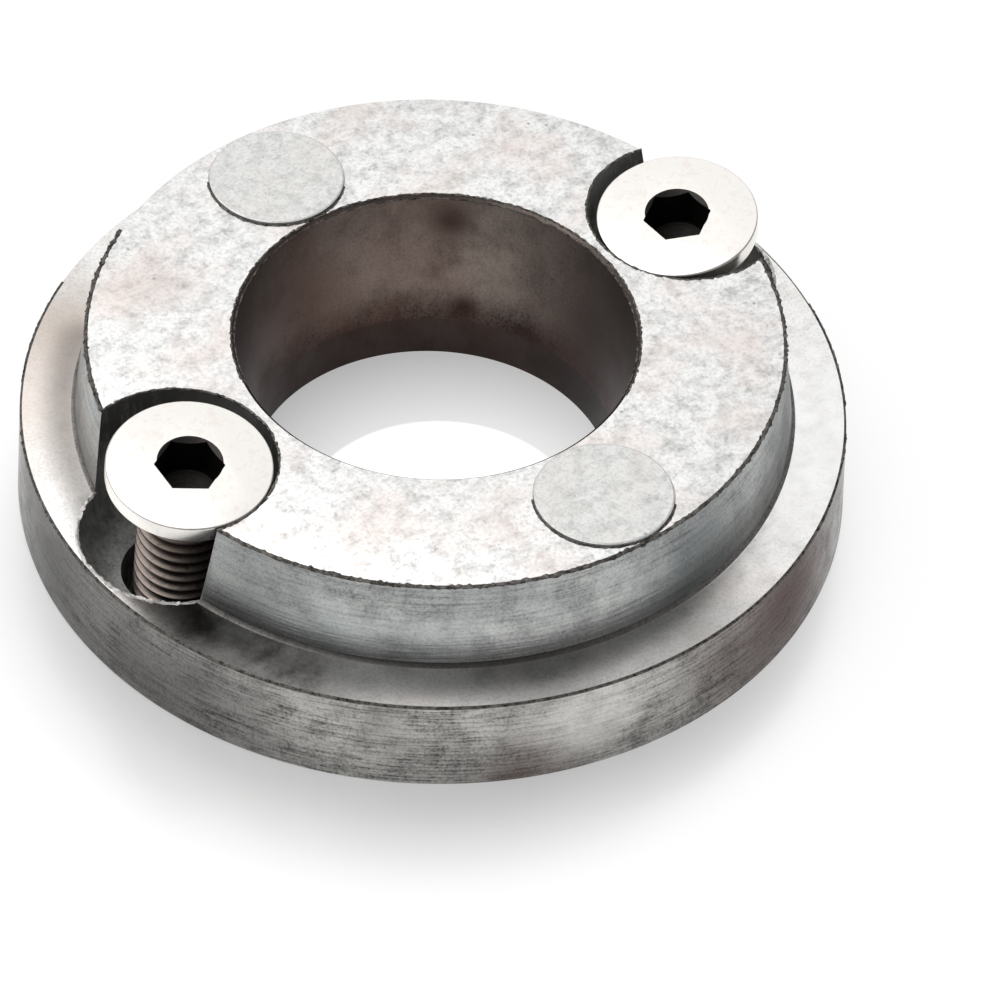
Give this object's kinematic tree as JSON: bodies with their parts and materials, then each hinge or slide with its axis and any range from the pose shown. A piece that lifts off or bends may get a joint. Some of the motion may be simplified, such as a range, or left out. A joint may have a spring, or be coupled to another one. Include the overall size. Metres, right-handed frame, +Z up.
{
  "type": "sacrificial anode",
  "caption": "Flanged ring anode with a raised collar, a drafted shaft bore, open-sided screw pockets and loose low-head socket screws.",
  "frame": {"origin": "on the bore axis, in the plane of the underside that the ring rests on", "axes": "+Z up along the bore axis towards the collar, +X through the axis of the right screw pocket"},
  "size_m": [0.0888, 0.0888, 0.0232],
  "materials": {
    "cast_anode_alloy": "as-cast face, skimmed edges, dull",
    "stainless_steel": "satin"
  },
  "bodies": {
    "root": {"anode_ring": "cast_anode_alloy", "fixing_screw_left": "stainless_steel", "fixing_screw_right": "stainless_steel"}
  },
  "joints": []
}
